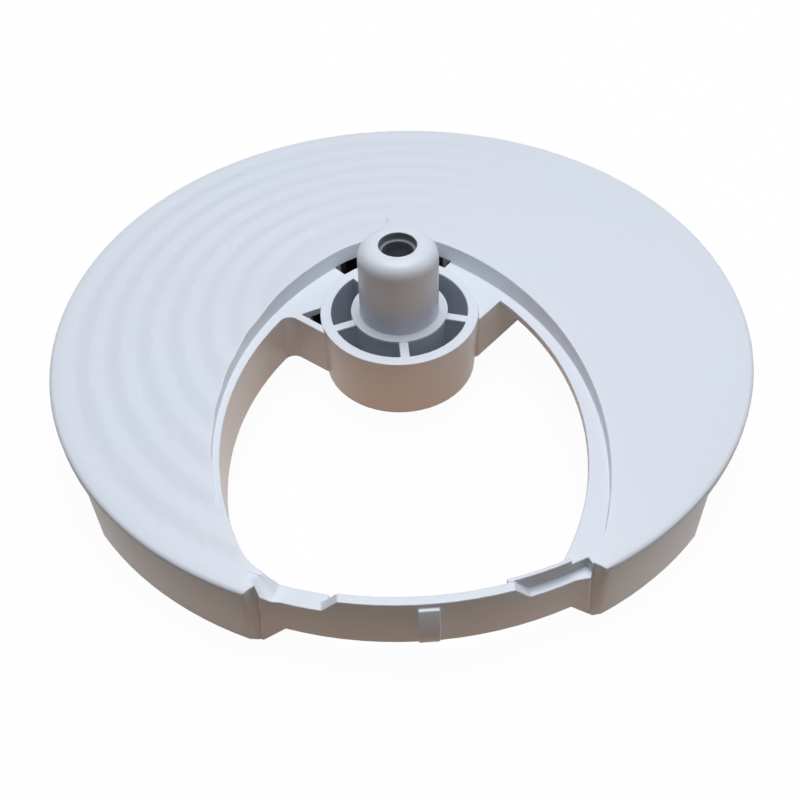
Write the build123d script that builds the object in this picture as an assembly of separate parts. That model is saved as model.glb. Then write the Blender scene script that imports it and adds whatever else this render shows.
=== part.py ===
from build123d import *
import os
from math import atan2, cos, degrees, hypot, pi, radians, sin, sqrt

# Hub: drafted drum, spoked ring, collar and post
drum_top_radius = 18.3
drum_draft = 0.55
drum_bottom_radius = drum_top_radius - drum_draft
drum_top = 3.1
drum_bottom = -13.0
drum_wall = 2.5
drum_inner = drum_top_radius - drum_wall
drum_overlap = 0.8
spoke_count = 5
spoke_turn = 3.4
spoke_thickness = 2.1
pocket_floor = -11.0
post_base_radius = 9.15
post_draft = 0.1
post_top_radius = post_base_radius - post_draft
post_top = 21.9
post_round = 4.0
post_root = 2.0
collar_width = 2.05
collar_radius = post_base_radius + collar_width
collar_rise = 0.2
collar_top = drum_top + collar_rise

# Stepped hole up the post
socket_radius = 6.6
socket_top = 13.0
core_step = 1.0
core_radius = socket_radius - core_step
core_top = 18.0
bore_radius = 3.55
counterbore_step = 0.7
counterbore_radius = bore_radius + counterbore_step
counterbore_depth = 1.9

# Disc plate: a shallow cone with a rounded rim
rim_radius = 80.0
rim_round = 1.0
rim_bead_in = 0.35
rim_bead_down = 0.25
rim_top = -0.4
rim_bottom = -2.2
rim_land = 2.5
rim_blend = 1.5
shoulder_radius = rim_radius - rim_round
crown_clearance = 1.9
crown_radius = drum_top_radius + crown_clearance
crown_height = 7.0
plate_slope = 0.112
plate_thickness = 2.0
block_clearance = 0.2
block_inner_radius = drum_top_radius + block_clearance
block_floor = -24.0
clear_height = 9.0
cut_margin = 1.0

# Concentric ripples: full on one side, running out to nothing round the back
ripple_depth = 0.34
ripple_pitch = 7.0
ripple_count = 7
ripple_steps = 4
ripple_margin = 1.3
ripple_outer_radius = shoulder_radius - ripple_margin
ripple_full_from = 140.0
ripple_full_to = 253.0
ripple_none_from = 0.0
ripple_least = 0.004
smooth_from = -67.0
fade_sections = 8

# Front wall, its raised middle band and the two low floors beside it
front_inset = 1.9
front_outer_radius = rim_radius - front_inset
front_wall = 1.9
window_front_radius = front_outer_radius - front_wall
front_floor = -11.3
front_from = 250.5
front_to = 295.0
band_middle = 272.4
band_top = 1.7
band_top_half = 12.0
band_foot_half = 14.3
band_clip_half = 45.0
step_top = -2.0
step_thickness = 2.0
step_left_width = 3.7
step_left_from = 246.5
step_left_round = 12.0
step_left_lap = 20.0
step_left_room = 0.8
step_left_to = 258.6
step_right_from = 285.0
step_right_to = 296.3
ramp_from = 247.4
ramp_width = 10.0
ramp_run = 5.0
ramp_length = 24.0
lip_wall = 0.8
lip_from = 283.8
lip_to = 293.6
lip_top = 1.9

# Recess for the cutting insert: two large arcs and a round back behind the hub
recess_left_radius = 67.7
recess_left_reach = 38.95
recess_left_middle = -36.8
recess_right_radius = 70.3
recess_right_reach = 41.3
recess_right_middle = -40.7
recess_clearance = 2.3
recess_back_radius = drum_top_radius + recess_clearance
recess_base = 1.2
recess_draft = 16.0
recess_wall = 2.6
recess_wall_foot = 0.6
recess_wall_floor = -0.6
recess_left_front = -58.0

# Ledge the insert rests on, a plane leaning slightly to the front right, and the window inside it
ledge_height = 2.6
ledge_pitch = 1.2
ledge_tilt = 0.6
ledge_thickness = 1.8
ledge_core_inset = 20.0
window_radius = 62.8
window_reach = 37.75
window_middle = -37.0
window_corner_radius = 2.5
window_skirt = 1.8
window_skirt_floor = -9.7
window_skirt_from = -14.0

# Webs and ribs that carry the hub
web_turn = 5.5
web_root_angle = -16.2
web_root_clearance = 0.3
web_run = 9.2
web_overrun = 27.6
web_angle = 43.2
rib_thickness = 1.8
rib_reach = 12.0
rib_floor = -9.7
rib_root = 1.0
slot_overlap = 0.3
slot_width = 2.0
slot_undercut = 3.6
slot_under_top = 3.2
slot_from = 53.0
slot_to = 134.0
slot_floor = -3.6
web_hole_tip = 4.3
web_hole_root = 0.6
web_hole_angles = (173.8, 181.0, 195.9)
web_hole_floor = -4.0

# Outer skirts either side of the front
skirt_wall = 2.0
skirt_floor = -16.0
skirt_left_from = 216.5
skirt_left_to = 247.0
skirt_right_from = 298.3
skirt_right_to = 319.0

# Corner blocks where the skirts meet the front wall, each with a groove that runs out downwards
corner_left = (247.0, 249.0, 252.3)
corner_right = (298.3, 297.0, 293.6)
corner_overlap = 1.0
corner_inner_radius = window_front_radius - corner_overlap
corner_lap = 1.5
corner_clear = 1.2
corner_rise = 4.6
corner_run = 9.0
groove_depth = 2.7
groove_foot_depth = 0.7
groove_left = (247.0, 248.5, 251.4)
groove_right = (298.3, 296.5, 293.9)
groove_margin = 1.2
groove_top = 3.0

# Catch nub on the outside of the band
nub_middle = 272.6
nub_width = 4.0
nub_root = 1.0
nub_out_top = 0.3
nub_out_bottom = 1.9
nub_top = 0.6
nub_bottom = -8.4

# Stiffening ribs under the back of the plate
stiffener_angles = (34.0, 64.0, 94.0, 124.0)
stiffener_thickness = 1.6
stiffener_floor = -3.6
stiffener_clearance = 1.0
stiffener_inset = 2.0


def plate_height(radius):
    return crown_height - (radius - crown_radius) * plate_slope


def ripple(radius):
    start = ripple_outer_radius - ripple_count * ripple_pitch
    if radius <= start or radius >= ripple_outer_radius:
        return 0.0
    return (1 - cos(2 * pi * (radius - start) / ripple_pitch)) / 2


def radial_plane(azimuth):
    turn = radians(azimuth)
    return Plane(origin=(0, 0, 0), x_dir=(cos(turn), sin(turn), 0), z_dir=(sin(turn), -cos(turn), 0))


def block_section(azimuth, depth):
    start = ripple_outer_radius - ripple_count * ripple_pitch
    radii = [block_inner_radius, (block_inner_radius + start) / 2]
    radii += [start + i * ripple_pitch / ripple_steps for i in range(ripple_count * ripple_steps + 1)]
    radii.append(shoulder_radius)
    points = [(r, plate_height(r) - depth * ripple(r)) for r in radii]
    along = (1, -plate_slope)
    top = Spline(*points, tangents=(along, along))
    sides = Polyline(
        points[-1],
        (rim_radius - rim_bead_in, plate_height(shoulder_radius) - rim_bead_down),
        (rim_radius, rim_top),
        (rim_radius, block_floor),
        (block_inner_radius, block_floor),
        points[0],
    )
    return radial_plane(azimuth) * make_face([top, sides])


def ring_sector(inner, outer, start, end, floor, top):
    profile = Pos((inner + outer) / 2, (floor + top) / 2) * Rectangle(outer - inner, top - floor)
    return revolve(radial_plane(start) * profile, Axis.Z, end - start)


def polar(radius, azimuth):
    return (radius * cos(radians(azimuth)), radius * sin(radians(azimuth)))


def left_meeting(middle_x, middle_y, radius, ring_radius):
    span = hypot(middle_x, middle_y)
    along = (ring_radius**2 - radius**2 + span**2) / (2 * span)
    across = sqrt(ring_radius**2 - along**2)
    return ((along * middle_x + across * middle_y) / span, (along * middle_y - across * middle_x) / span)


def prism(sketch, floor, top):
    return extrude(Pos(0, 0, floor) * sketch, top - floor)


def tangent_plane(azimuth, turn):
    along = polar(1, azimuth + turn * 90)
    out = polar(turn, azimuth)
    return Plane(origin=(0, 0, 0), x_dir=(along[0], along[1], 0), z_dir=(out[0], out[1], 0))


def below_plate(depth, rim_height):
    far = rim_radius + clear_height
    near = block_inner_radius - cut_margin
    bead_inner = rim_radius - rim_land
    turn_in = bead_inner - rim_blend
    outline = Polyline(
        (near, plate_height(near) - depth),
        (turn_in, plate_height(turn_in) - depth),
        (bead_inner, rim_height),
        (far, rim_height),
        (far, block_floor - cut_margin),
        (near, block_floor - cut_margin),
        close=True,
    )
    return revolve(Plane.XZ * make_face(outline), Axis.Z)


def below_ledge(depth):
    size = 4 * rim_radius
    half_space = Pos(0, 0, ledge_height - depth - size / 2) * Box(size, size, size)
    return Rot(ledge_pitch, ledge_tilt, 0) * half_space


# Solid under the plate's top face
smooth_block = revolve(
    block_section(smooth_from, ripple_depth * ripple_least), Axis.Z, ripple_none_from - smooth_from
)
full_block = revolve(
    block_section(ripple_full_from, ripple_depth), Axis.Z, ripple_full_to - ripple_full_from
)
fade = []
for i in range(fade_sections):
    share = i / (fade_sections - 1)
    strength = max(share * share * (3 - 2 * share), ripple_least)
    azimuth = ripple_none_from + share * (ripple_full_from - ripple_none_from)
    fade.append(block_section(azimuth, ripple_depth * strength))
fade_block = loft(fade)
block = smooth_block + fade_block + full_block

# Plate shell, and the body of revolution that ends every wall inside the plate
plate = block - below_plate(plate_thickness, rim_bottom)
wall_space = below_plate(plate_thickness / 2, (rim_top + rim_bottom) / 2)

# Outlines in plan
recess_left_x = recess_left_radius - recess_left_reach
recess_right_x = recess_right_reach - recess_right_radius
recess_left = Pos(recess_left_x, recess_left_middle) * Circle(recess_left_radius)
recess_right = Pos(recess_right_x, recess_right_middle) * Circle(recess_right_radius)
recess = recess_left & recess_right
recess = fillet(recess.vertices().sort_by(Axis.Y)[-1], recess_back_radius)
window_left_x = window_radius - window_reach
window_left = Pos(window_left_x, window_middle) * Circle(window_radius)
window_right = Pos(window_reach - window_radius, window_middle) * Circle(window_radius)
window_lens = window_left & window_right & Circle(window_front_radius)
web_root_x, web_root_y = polar(drum_top_radius + web_root_clearance, web_root_angle)
along_x, along_y = polar(1, web_angle)
web_far_x = web_root_x + (web_run + web_overrun) * along_x
web_far_y = web_root_y + (web_run + web_overrun) * along_y
web_corner_x = web_root_x + web_run * along_x
hub_area = Rot(0, 0, web_turn) * make_face(
    Polyline(
        (web_root_x, web_root_y),
        (web_far_x, web_far_y),
        (-web_far_x, web_far_y),
        (-web_root_x, web_root_y),
        close=True,
    )
)
drum_hold = Circle(drum_inner + drum_overlap)
step_left_radius = front_outer_radius - step_left_width
step_corner_x, step_corner_y = left_meeting(window_left_x, window_middle, window_radius, step_left_radius)
step_corner_angle = degrees(atan2(step_corner_y, step_corner_x)) % 360
step_room = step_left_room * step_left_radius * radians(step_left_to - step_corner_angle)
step_end = polar(2 * rim_radius, step_left_to)
step_left_zone = make_face(Polyline((0, 0), polar(2 * rim_radius, step_left_from), step_end, close=True))
step_start = polar(2 * rim_radius, step_corner_angle - step_left_lap)
step_edge_zone = make_face(Polyline((0, 0), step_start, step_end, close=True))
window = window_lens - hub_area - drum_hold - (step_edge_zone - Circle(step_left_radius))
web_corner = window.vertices().sort_by_distance(Vertex(-web_corner_x, 0, 0))[0]
window = fillet(web_corner, window_corner_radius)
step_corner = window.vertices().sort_by_distance(Vertex(step_corner_x, step_corner_y, 0))[0]
window = fillet(step_corner, min(step_left_round, step_room))

# Right-hand rib, which runs on under the plate
rib_length = rib_root + web_run + rib_reach
rib_strip = Pos(rib_length / 2 - rib_root, rib_thickness / 2) * Rectangle(rib_length, rib_thickness)
rib_strip = Rot(0, 0, web_turn) * Pos(web_root_x, web_root_y) * Rot(0, 0, web_angle) * rib_strip


def corner_block(skirt_end, rise_from, wall_end, turn):
    plan = Polyline(
        polar(corner_inner_radius, skirt_end - turn * corner_lap),
        polar(rim_radius - skirt_wall / 2, skirt_end - turn * corner_lap),
        polar(rim_radius, skirt_end),
        polar(front_outer_radius, wall_end),
        polar(corner_inner_radius, wall_end),
        close=True,
    )
    under = Polyline(
        (0, skirt_floor),
        (corner_rise, front_floor),
        (corner_run, front_floor),
        (corner_run, block_floor),
        (0, block_floor),
        close=True,
    )
    cut = extrude(tangent_plane(rise_from, turn) * make_face(under), turn * (rim_radius + clear_height))
    return prism(make_face(plan), skirt_floor, clear_height) - cut


# Walls below the plate
wall_ring = offset(recess, recess_wall) - offset(recess, -recess_wall_foot)
skirt_inner_radius = rim_radius - skirt_wall
walls = [
    prism(wall_ring & Circle(skirt_inner_radius), recess_wall_floor, clear_height),
    prism(rib_strip, rib_floor, clear_height),
    ring_sector(skirt_inner_radius, rim_radius, skirt_left_from, skirt_left_to, skirt_floor, clear_height),
    ring_sector(skirt_inner_radius, rim_radius, skirt_right_from, skirt_right_to, skirt_floor, clear_height),
    corner_block(*corner_left, 1),
    corner_block(*corner_right, -1),
]
stiffener_inner_radius = crown_radius + stiffener_clearance
stiffener_length = rim_radius - stiffener_inset - stiffener_inner_radius
stiffener_middle = stiffener_inner_radius + stiffener_length / 2
stiffener = Pos(stiffener_middle, 0) * Rectangle(stiffener_length, stiffener_thickness)
for azimuth in stiffener_angles:
    walls.append(prism(Rot(0, 0, azimuth) * stiffener, stiffener_floor, clear_height))
body = plate
for wall in walls:
    body += wall & wall_space

# Plate left outside the corner blocks
for (skirt_end, _, wall_end), turn in ((corner_left, 1), (corner_right, -1)):
    waste = Polyline(
        polar(rim_radius, skirt_end),
        polar(front_outer_radius, wall_end),
        polar(front_outer_radius, wall_end + turn * corner_clear),
        polar(rim_radius + corner_clear, wall_end + turn * corner_clear),
        polar(rim_radius + corner_clear, skirt_end),
        close=True,
    )
    body -= prism(make_face(waste), block_floor, clear_height)

# Recess, ledge and window
recess_cut = extrude(Pos(0, 0, recess_base) * recess, clear_height, taper=-recess_draft)
recess_cut += prism(recess, recess_base - recess_wall, recess_base)
left_front = Pos(-rim_radius, recess_left_front - rim_radius) * Rectangle(2 * rim_radius, 2 * rim_radius)
recess_cut -= prism(left_front, -clear_height, 2 * clear_height)
body -= recess_cut - below_ledge(0)
ledge = prism(offset(recess, recess_wall / 2) - drum_hold, -clear_height, clear_height)
ledge &= below_ledge(0) - below_ledge(ledge_thickness)
ledge_core_radius = rim_radius - ledge_core_inset
body += (ledge & Cylinder(ledge_core_radius, 4 * clear_height)) + (ledge & block)
left_side = Pos(window_skirt_from - rim_radius, 0) * Rectangle(2 * rim_radius, 3 * rim_radius)
skirt_strip = (offset(window, window_skirt) - window - drum_hold) & left_side & Circle(corner_inner_radius)
body += prism(skirt_strip, window_skirt_floor, clear_height) & below_ledge(ledge_thickness / 2)
body -= prism(window, block_floor, clear_height)

# Slot behind the ring and the three-cornered hole in the left web
slot_inner_radius = drum_top_radius - slot_overlap
slot_outer_radius = drum_top_radius + slot_width
slot_under_radius = slot_outer_radius + slot_undercut
body -= ring_sector(slot_inner_radius, slot_outer_radius, slot_from, slot_to, slot_floor, clear_height)
body -= ring_sector(slot_inner_radius, slot_under_radius, slot_from, slot_to, slot_floor, slot_under_top)
hole_root = drum_top_radius - web_hole_root
hole_tip = drum_top_radius + web_hole_tip
hole_corners = [polar(r, azimuth) for r, azimuth in zip((hole_root, hole_tip, hole_root), web_hole_angles)]
body -= prism(make_face(Polyline(*hole_corners, close=True)), web_hole_floor, clear_height)

# Front wall, floors, lip and band
ramp = make_face(
    Polyline(
        (0, plate_height(rim_radius - ramp_width)),
        (ramp_run, step_top),
        (ramp_length, step_top),
        (ramp_length, clear_height),
        (0, clear_height),
        close=True,
    )
)
ramp_cut = extrude(tangent_plane(ramp_from, 1) * ramp, rim_radius + clear_height)
body -= ramp_cut - Cylinder(rim_radius - ramp_width, 4 * clear_height)
body -= ring_sector(
    window_front_radius, rim_radius + cut_margin, step_right_from, step_right_to, step_top, clear_height
)
body += ring_sector(window_front_radius, front_outer_radius, front_from, front_to, front_floor, step_top)
step_left = (step_left_zone & Circle(front_outer_radius)) - Circle(rim_radius - ramp_width) - window
body += prism(step_left, step_top - step_thickness, step_top)
body += ring_sector(
    window_front_radius - lip_wall, window_front_radius, lip_from, lip_to, step_top - step_thickness, lip_top
)
band_top_reach = front_outer_radius * sin(radians(band_top_half))
band_foot_reach = front_outer_radius * sin(radians(band_foot_half))
band_face = make_face(
    Polyline(
        (-band_foot_reach, front_floor),
        (band_foot_reach, front_floor),
        (band_foot_reach, step_top),
        (band_top_reach, band_top),
        (-band_top_reach, band_top),
        (-band_foot_reach, step_top),
        close=True,
    )
)
band = extrude(tangent_plane(band_middle, 1) * band_face, rim_radius + clear_height)
band_from = band_middle - band_clip_half
band_to = band_middle + band_clip_half
body += band & ring_sector(
    window_front_radius, front_outer_radius, band_from, band_to, block_floor, clear_height
)

# Corner grooves and the catch nub
for skirt_side, apex, front_side in (groove_left, groove_right):
    mouth = [polar(rim_radius + groove_margin, skirt_side), polar(rim_radius + groove_margin, front_side)]
    top_face = make_face(Polyline(polar(rim_radius - groove_depth, apex), *mouth, close=True))
    foot_face = make_face(Polyline(polar(rim_radius - groove_foot_depth, apex), *mouth, close=True))
    groove_foot = skirt_floor - cut_margin
    body -= loft([Pos(0, 0, groove_top) * top_face, Pos(0, 0, groove_foot) * foot_face], ruled=True)
nub_face = make_face(
    Polyline(
        (front_outer_radius - nub_root, nub_top),
        (front_outer_radius + nub_out_top, nub_top),
        (front_outer_radius + nub_out_bottom, nub_bottom),
        (front_outer_radius - nub_root, nub_bottom),
        close=True,
    )
)
body += extrude(radial_plane(nub_middle) * nub_face, nub_width / 2, both=True)

# Hub: drum with pockets, post and the stepped hole
hub_profile = make_face(
    Polyline(
        (0, drum_bottom),
        (drum_bottom_radius, drum_bottom),
        (drum_top_radius, drum_top),
        (drum_inner, drum_top),
        (drum_inner, pocket_floor),
        (collar_radius, pocket_floor),
        (collar_radius, collar_top),
        (0, collar_top),
        close=True,
    )
)
hub = revolve(Plane.XZ * hub_profile, Axis.Z)
spoke_length = drum_inner - collar_radius + 2 * drum_overlap
for i in range(spoke_count):
    spoke = Pos((collar_radius + drum_inner) / 2, 0, (pocket_floor + drum_top) / 2) * Box(
        spoke_length, spoke_thickness, drum_top - pocket_floor
    )
    hub += Rot(0, 0, 270 + spoke_turn + i * 360 / spoke_count) * spoke
post_foot = collar_top - post_root
post_start = post_top - post_round
post_side = Polyline(
    (post_top_radius - post_round, post_top),
    (0, post_top),
    (0, post_foot),
    (post_base_radius, post_foot),
    (post_top_radius, post_start),
)
post_shoulder = Spline(
    (post_top_radius, post_start),
    (post_top_radius - post_round, post_top),
    tangents=((-post_draft, post_start - post_foot), (-1, 0)),
)
hub += revolve(Plane.XZ * make_face([post_side, post_shoulder]), Axis.Z)
hole_profile = make_face(
    Polyline(
        (0, drum_bottom - cut_margin),
        (socket_radius, drum_bottom - cut_margin),
        (socket_radius, socket_top),
        (core_radius, socket_top),
        (core_radius, core_top),
        (bore_radius, core_top),
        (bore_radius, post_top - counterbore_depth),
        (counterbore_radius, post_top - counterbore_depth),
        (counterbore_radius, post_top + cut_margin),
        (0, post_top + cut_margin),
        close=True,
    )
)
hub -= revolve(Plane.XZ * hole_profile, Axis.Z)
body += hub

insert_holder = body.solids().sort_by(SortBy.VOLUME)[-1]
os.makedirs("parts", exist_ok=True)
export_step(insert_holder, "parts/insert_holder.step")
print("solids", len(body.solids()), "valid", insert_holder.is_valid, "volume", round(insert_holder.volume, 1))
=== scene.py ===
from math import cos, radians, sin

import bpy
from mathutils import Euler, Matrix, Vector


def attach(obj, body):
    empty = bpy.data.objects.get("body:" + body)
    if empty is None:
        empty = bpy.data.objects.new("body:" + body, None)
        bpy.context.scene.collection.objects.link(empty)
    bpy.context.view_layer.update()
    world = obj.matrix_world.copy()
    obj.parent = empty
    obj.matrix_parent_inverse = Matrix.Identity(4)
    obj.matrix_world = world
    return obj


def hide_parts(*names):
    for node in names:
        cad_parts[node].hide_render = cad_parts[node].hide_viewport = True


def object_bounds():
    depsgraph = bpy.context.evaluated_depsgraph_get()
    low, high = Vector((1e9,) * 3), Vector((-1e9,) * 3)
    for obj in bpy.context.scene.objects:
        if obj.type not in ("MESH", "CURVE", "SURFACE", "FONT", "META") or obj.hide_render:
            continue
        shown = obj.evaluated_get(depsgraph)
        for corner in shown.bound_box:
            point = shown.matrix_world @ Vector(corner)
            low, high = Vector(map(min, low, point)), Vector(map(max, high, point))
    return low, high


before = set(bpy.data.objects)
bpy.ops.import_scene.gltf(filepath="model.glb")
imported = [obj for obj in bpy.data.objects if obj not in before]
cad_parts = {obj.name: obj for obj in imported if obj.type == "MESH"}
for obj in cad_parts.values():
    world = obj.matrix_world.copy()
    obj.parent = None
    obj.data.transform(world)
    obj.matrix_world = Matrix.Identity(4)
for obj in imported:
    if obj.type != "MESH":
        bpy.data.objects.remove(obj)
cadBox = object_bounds()
mm = 0.001

# One moulded piece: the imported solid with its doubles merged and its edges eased
holder = {
    "node": "insert_holder",
    "name": "holderShell",
    "mergeDistance": 0.004 * mm,
    "flatAngle": 0.02,
    "easeWidth": 0.22 * mm,
    "easeSegments": 2,
    "easeAngle": 40.0,
    "smoothAngle": 38.0,
}

# Hair-thin step where the ledge runs out in the plate near the front left corner
seam = {
    "low": Vector((-33.2, -69.2, 0.5)) * mm,
    "high": Vector((-29.8, -65.0, 0.75)) * mm,
    "mergeDistance": 0.06 * mm,
}

# Catch on the front band: its face is drawn out to a ridge so that it ramps like the real one
catch = {
    "bearing": 272.6,
    "from": 78.25 * mm,
    "halfWidth": 2.2 * mm,
    "low": -9.0 * mm,
    "high": 1.0 * mm,
    "ridge": -4.5 * mm,
    "ridgeReach": 0.1 * mm,
    "ridgeOut": 1.4 * mm,
    "topFrom": 0.0,
    "topOut": 0.45 * mm,
}

# White moulded plastic with faint flow marks, painted shade in its pockets, slot and bore, and a small scuff
# behind the post
plastic = {
    "name": "whiteMoulding",
    "coolWhite": (0.685, 0.76, 0.84, 1.0),
    "lilacWhite": (0.735, 0.757, 0.84, 1.0),
    "patchScale": 26.0,
    "patchDetail": 3.0,
    "patchShare": 0.7,
    "flowScale": 5.5,
    "flowDetail": 6.0,
    "flowStretch": (1.0, 9.0, 1.0),
    "grainScale": 2600.0,
    "grainDetail": 2.0,
    "grainStrength": 0.4,
    "grainHeight": 0.006 * mm,
    "grainShare": 0.4,
    "waveScale": 240.0,
    "waveDetail": 1.0,
    "waveStrength": 0.25,
    "waveHeight": 0.02 * mm,
    # dark colour used both for the painted shade in the hollows and for the scuff
    "paintedShadeAndScuffColour": (0.03, 0.032, 0.038, 1.0),
    "pocketInner": 11.1 * mm,
    "pocketOuter": 16.0 * mm,
    "pocketTop": 2.6 * mm,
    "pocketShade": 0.245,
    "slotInner": 18.2 * mm,
    "slotOuter": 27.2 * mm,
    "slotTop": 2.3 * mm,
    "slotFrom": 12.8 * mm,
    "slotShade": 0.97,
    "holeOuter": 4.3 * mm,
    "holeFrom": 12.0 * mm,
    "holeTop": 21.7 * mm,
    "holeShade": 0.66,
    "scuffPlace": (-2.3 * mm, 30.0 * mm, 5.4 * mm),
    "scuffStretch": (6.0, 1.0, 1.0),
    "scuffReach": 3.0 * mm,
    "scuffShade": 0.22,
    "roughLow": 0.27,
    "roughHigh": 0.4,
    "specular": 0.3,
}

# Camera, pale floor whose bounced light is warm near the disc, with a painted shadow patch under the back of
# the disc, and soft light from above
studio = {
    "aim": Vector((-0.5, -25.9, 0.0)) * mm,
    "distance": 220.0 * mm,
    "elevation": 46.8,
    "roll": 1.76,
    "focalPixels": 1020.0,
    "framePixels": 800.0,
    "sensor": 36.0,
    "clipStart": 0.01,
    "floorSize": 6.0,
    "white": (1.0, 1.0, 1.0, 1.0),
    "floorColour": (0.9, 0.9, 0.9, 1.0),
    "whiteShare": 0.96,
    # painted shadow: a dark round patch on the floor under the back of the disc
    "paintedShadowColour": (0.04, 0.03, 0.03, 1.0),
    "paintedShadowCentre": (0.0, 26.0 * mm, 0.0),
    "paintedShadowInner": 23.0 * mm,
    "paintedShadowOuter": 28.0 * mm,
    "nearColour": (0.74, 0.4, 0.185, 1.0),
    "farColour": (0.16, 0.09, 0.035, 1.0),
    "nearCentre": (0.0, -20.0 * mm, 0.0),
    "nearInner": 60.0 * mm,
    "nearOuter": 92.0 * mm,
    "skyColour": (0.93, 0.96, 1.0, 1.0),
    "skyLow": 0.01,
    "skyHigh": 0.72,
    "skyPower": 4.0,
    "lamps": {
        "keyWindow": {"place": (20.0, 150.0, 900.0), "size": 640.0, "power": 6.8},
        "sideWindow": {"place": (640.0, -90.0, 190.0), "size": 340.0, "power": 0.5},
    },
}


class Wire:
    # a value in a shader tree that can be used in plain arithmetic
    def __init__(self, tree, socket):
        self.tree = tree
        self.socket = socket

    def maths(self, operation, first, second):
        made = self.tree.nodes.new("ShaderNodeMath")
        made.operation = operation
        for slot, value in zip(made.inputs, (first, second)):
            if isinstance(value, Wire):
                self.tree.links.new(value.socket, slot)
            else:
                slot.default_value = value
        return Wire(self.tree, made.outputs[0])

    def __add__(self, other):
        return self.maths("ADD", self, other)

    __radd__ = __add__

    def __sub__(self, other):
        return self.maths("SUBTRACT", self, other)

    def __rsub__(self, other):
        return self.maths("SUBTRACT", other, self)

    def __mul__(self, other):
        return self.maths("MULTIPLY", self, other)

    __rmul__ = __mul__

    def __gt__(self, other):
        return self.maths("GREATER_THAN", self, other)

    def __lt__(self, other):
        return self.maths("LESS_THAN", self, other)


class Shader:
    # the shader tree of a material or the world, and the one method that adds its nodes
    def __init__(self, owner):
        owner.use_nodes = True
        self.tree = owner.node_tree
        self.tree.nodes.clear()

    def add(self, kind, settings=None, links=None, output=0):
        made = self.tree.nodes.new("ShaderNode" + kind)
        for key, value in (settings or {}).items():
            setattr(made, key, value)
        for key, value in (links or {}).items():
            if isinstance(value, Wire):
                self.tree.links.new(value.socket, made.inputs[key])
            else:
                made.inputs[key].default_value = value
        if len(made.outputs):
            return Wire(self.tree, made.outputs[output])

    def mix(self, share, first, second):
        return self.add("Mix", {"data_type": "RGBA"}, {0: share, 6: first, 7: second}, 2)

    def fade(self, value, start, end, low=0.0, high=1.0):
        limits = {"Value": value, "From Min": start, "From Max": end, "To Min": low, "To Max": high}
        return self.add("MapRange", {"interpolation_type": "SMOOTHSTEP"}, limits)

    def noise(self, place, name):
        links = {"Vector": place, "Scale": plastic[name + "Scale"], "Detail": plastic[name + "Detail"]}
        return self.add("TexNoise", {}, links)


def activate(piece):
    bpy.ops.object.select_all(action="DESELECT")
    piece.select_set(True)
    bpy.context.view_layer.objects.active = piece


def between(value, low, high):
    return (value > low) * (value < high)


# painted shade: darkens the colour in the hub's pockets, the slot behind the hub and the post's bore
def hollowShade(shader, place):
    flat = shader.add("VectorMath", {"operation": "MULTIPLY"}, {0: place, 1: (1.0, 1.0, 0.0)})
    reach = shader.add("VectorMath", {"operation": "LENGTH"}, {0: flat}, "Value")
    behind = shader.add("SeparateXYZ", {}, {0: place}, "Y")
    height = shader.add("SeparateXYZ", {}, {0: place}, "Z")
    pocket = between(reach, plastic["pocketInner"], plastic["pocketOuter"]) * (height < plastic["pocketTop"])
    slot = between(reach, plastic["slotInner"], plastic["slotOuter"]) * (height < plastic["slotTop"])
    slot = slot * (behind > plastic["slotFrom"])
    hole = between(height, plastic["holeFrom"], plastic["holeTop"]) * (reach < plastic["holeOuter"])
    shade = pocket * plastic["pocketShade"] + slot * plastic["slotShade"]
    return shade + hole * plastic["holeShade"]


def scuffShade(shader, place):
    offset = shader.add("VectorMath", {"operation": "SUBTRACT"}, {0: place, 1: plastic["scuffPlace"]})
    streak = shader.add("VectorMath", {"operation": "MULTIPLY"}, {0: offset, 1: plastic["scuffStretch"]})
    along = shader.add("VectorMath", {"operation": "LENGTH"}, {0: streak}, "Value")
    return shader.fade(along, 0.0, plastic["scuffReach"], plastic["scuffShade"], 0.0)


def mouldedPlastic():
    material = bpy.data.materials.new(plastic["name"])
    shader = Shader(material)
    place = shader.add("TexCoord", output="Object")
    stretched = shader.add("Mapping", {}, {"Vector": place, "Scale": plastic["flowStretch"]})
    patches = shader.noise(place, "patch")
    flow = shader.noise(stretched, "flow")
    grain = shader.noise(place, "grain")
    sink = shader.noise(place, "wave")
    cloud = patches * plastic["patchShare"] + flow * (1.0 - plastic["patchShare"])
    tint = shader.mix(cloud, plastic["coolWhite"], plastic["lilacWhite"])
    # painted shade in the hollows, and the scuff, mix the dark colour into the tint
    tint = shader.mix(hollowShade(shader, place) + scuffShade(shader, place), tint, plastic["paintedShadeAndScuffColour"])
    spread = plastic["roughHigh"] - plastic["roughLow"]
    streaks = flow * (1.0 - plastic["grainShare"]) + grain * plastic["grainShare"]
    wavy = shader.add(
        "Bump",
        {},
        {"Height": sink, "Strength": plastic["waveStrength"], "Distance": plastic["waveHeight"]},
    )
    fine = shader.add(
        "Bump",
        {},
        {
            "Height": grain,
            "Strength": plastic["grainStrength"],
            "Distance": plastic["grainHeight"],
            "Normal": wavy,
        },
    )
    surface = shader.add(
        "BsdfPrincipled",
        {},
        {
            "Base Color": tint,
            "Roughness": plastic["roughLow"] + spread * streaks,
            "Normal": fine,
            "Specular IOR Level": plastic["specular"],
        },
    )
    shader.add("OutputMaterial", {}, {"Surface": surface})
    print("material", plastic["name"])
    return material


def pickPoints(piece, rule):
    bpy.ops.object.mode_set(mode="EDIT")
    bpy.ops.mesh.select_all(action="DESELECT")
    bpy.ops.object.mode_set(mode="OBJECT")
    for point in piece.data.vertices:
        point.select = rule(point.co)
    bpy.ops.object.mode_set(mode="EDIT")


def closeSeam(piece):
    pickPoints(piece, lambda place: all(a < p < b for a, p, b in zip(seam["low"], place, seam["high"])))
    bpy.ops.mesh.remove_doubles(threshold=seam["mergeDistance"])
    bpy.ops.mesh.select_all(action="SELECT")
    print("seam closed")


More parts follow.
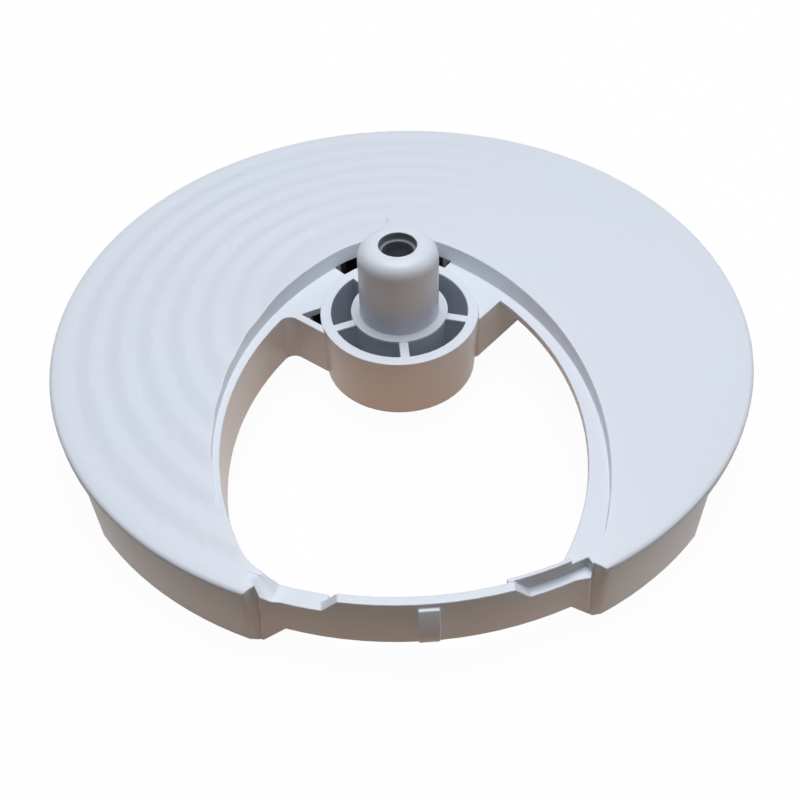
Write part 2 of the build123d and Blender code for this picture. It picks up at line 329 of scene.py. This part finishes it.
def shapeCatch(piece):
    turn = radians(catch["bearing"])
    outward = Vector((cos(turn), sin(turn), 0.0))
    sideways = Vector((-sin(turn), cos(turn), 0.0))

    def onFace(place):
        inWidth = abs(place.dot(sideways)) < catch["halfWidth"]
        return inWidth and place.dot(outward) > catch["from"] and catch["low"] < place.z < catch["high"]

    def onRidge(place):
        return onFace(place) and abs(place.z - catch["ridge"]) < catch["ridgeReach"]

    pickPoints(piece, onFace)
    bpy.ops.mesh.bisect(plane_co=(0.0, 0.0, catch["ridge"]), plane_no=(0.0, 0.0, 1.0))
    pickPoints(piece, onRidge)
    bpy.ops.transform.translate(value=outward * catch["ridgeOut"])
    pickPoints(piece, lambda place: onFace(place) and place.z > catch["topFrom"])
    bpy.ops.transform.translate(value=outward * catch["topOut"])
    bpy.ops.object.mode_set(mode="OBJECT")
    print("catch ramped")


def buildHolder():
    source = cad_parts[holder["node"]]
    piece = bpy.data.objects.new(holder["name"], source.data.copy())
    bpy.context.scene.collection.objects.link(piece)
    activate(piece)
    bpy.ops.object.mode_set(mode="EDIT")
    bpy.ops.mesh.select_all(action="SELECT")
    bpy.ops.mesh.remove_doubles(threshold=holder["mergeDistance"])
    closeSeam(piece)
    bpy.ops.mesh.dissolve_limited(angle_limit=radians(holder["flatAngle"]))
    bpy.ops.object.mode_set(mode="OBJECT")
    shapeCatch(piece)
    ease = piece.modifiers.new("easedEdges", "BEVEL")
    ease.width = holder["easeWidth"]
    ease.segments = holder["easeSegments"]
    ease.limit_method = "ANGLE"
    ease.angle_limit = radians(holder["easeAngle"])
    ease.use_clamp_overlap = False
    ease.loop_slide = False
    bpy.ops.object.modifier_apply(modifier=ease.name)
    bpy.ops.object.shade_smooth_by_angle(angle=radians(holder["smoothAngle"]))
    settle = piece.modifiers.new("settledNormals", "WEIGHTED_NORMAL")
    settle.mode = "FACE_AREA"
    settle.keep_sharp = True
    bpy.ops.object.modifier_apply(modifier=settle.name)
    piece.data.materials.clear()
    piece.data.materials.append(mouldedPlastic())
    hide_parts(holder["node"])
    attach(piece, "root")
    print("holder faces", len(piece.data.polygons))


def buildFloor():
    bpy.ops.object.select_all(action="DESELECT")
    low = cadBox[0]
    bpy.ops.mesh.primitive_plane_add(size=studio["floorSize"], location=(0.0, 0.0, low[2]))
    floor = bpy.context.object
    floor.name = "paleFloor"
    material = bpy.data.materials.new("paleFloor")
    shader = Shader(material)
    shown = shader.add("LightPath", output="Is Camera Ray")
    shown = shown + shader.add("LightPath", output="Is Glossy Ray")
    shown = shown + shader.add("LightPath", output="Is Transmission Ray")
    place = shader.add("TexCoord", output="Object")
    # painted shadow: inside a round patch the floor is dark for every ray and shows no white
    under = shader.add("VectorMath", {"operation": "DISTANCE"}, {0: place, 1: studio["paintedShadowCentre"]}, "Value")
    clear = shader.fade(under, studio["paintedShadowInner"], studio["paintedShadowOuter"])
    reach = shader.add("VectorMath", {"operation": "DISTANCE"}, {0: place, 1: studio["nearCentre"]}, "Value")
    beyond = shader.fade(reach, studio["nearInner"], studio["nearOuter"])
    bounce = shader.mix(beyond, studio["nearColour"], studio["farColour"])
    bounce = shader.mix(clear, studio["paintedShadowColour"], bounce)
    colour = shader.mix(shown * clear, bounce, studio["floorColour"])
    matt = shader.add("BsdfDiffuse", {}, {"Color": colour})
    white = shader.add("Emission", {}, {"Color": studio["white"]})
    surface = shader.add("MixShader", {}, {0: shown * clear * studio["whiteShare"], 1: matt, 2: white})
    shader.add("OutputMaterial", {}, {"Surface": surface})
    floor.data.materials.append(material)
    print("floor at", round(low[2], 4))


def buildLight():
    world = bpy.data.worlds.new("paleRoom")
    bpy.context.scene.world = world
    shader = Shader(world)
    seen = shader.add("LightPath", output="Is Camera Ray")
    around = shader.add("TexCoord", output="Generated")
    upward = shader.add("SeparateXYZ", {}, {0: around}, "Z")
    upward = upward.maths("MAXIMUM", upward, 0.0)
    upward = upward.maths("POWER", upward, studio["skyPower"])
    lit = studio["skyLow"] + (studio["skyHigh"] - studio["skyLow"]) * upward
    tint = shader.mix(seen, studio["skyColour"], studio["white"])
    sky = shader.add("Background", {}, {"Color": tint, "Strength": lit + (1.0 - lit) * seen})
    shader.add("OutputWorld", {}, {"Surface": sky})
    for name, lamp in studio["lamps"].items():
        place = Vector(lamp["place"]) * mm
        bpy.ops.object.light_add(type="AREA", location=place)
        window = bpy.context.object
        window.name = name
        window.data.shape = "DISK"
        window.data.size = lamp["size"] * mm
        window.data.energy = lamp["power"]
        window.rotation_euler = (-place).to_track_quat("-Z", "Y").to_euler()
    print("light ready")


def buildCamera():
    bpy.ops.object.camera_add()
    camera = bpy.context.object
    camera.name = "photoCamera"
    tilt = Euler((radians(90.0 - studio["elevation"]), 0.0, 0.0)).to_matrix()
    spin = Matrix.Rotation(radians(-studio["roll"]), 3, "Z")
    turn = tilt @ spin
    back = tilt @ Vector((0.0, 0.0, 1.0))
    camera.matrix_world = Matrix.Translation(studio["aim"] + back * studio["distance"]) @ turn.to_4x4()
    camera.data.sensor_width = studio["sensor"]
    camera.data.lens = studio["sensor"] * studio["focalPixels"] / studio["framePixels"]
    camera.data.clip_start = studio["clipStart"]
    bpy.context.scene.camera = camera
    print("camera at", [round(v, 3) for v in camera.matrix_world.translation])


buildHolder()
buildFloor()
buildLight()
buildCamera()
bpy.context.scene.view_settings.view_transform = "Standard"
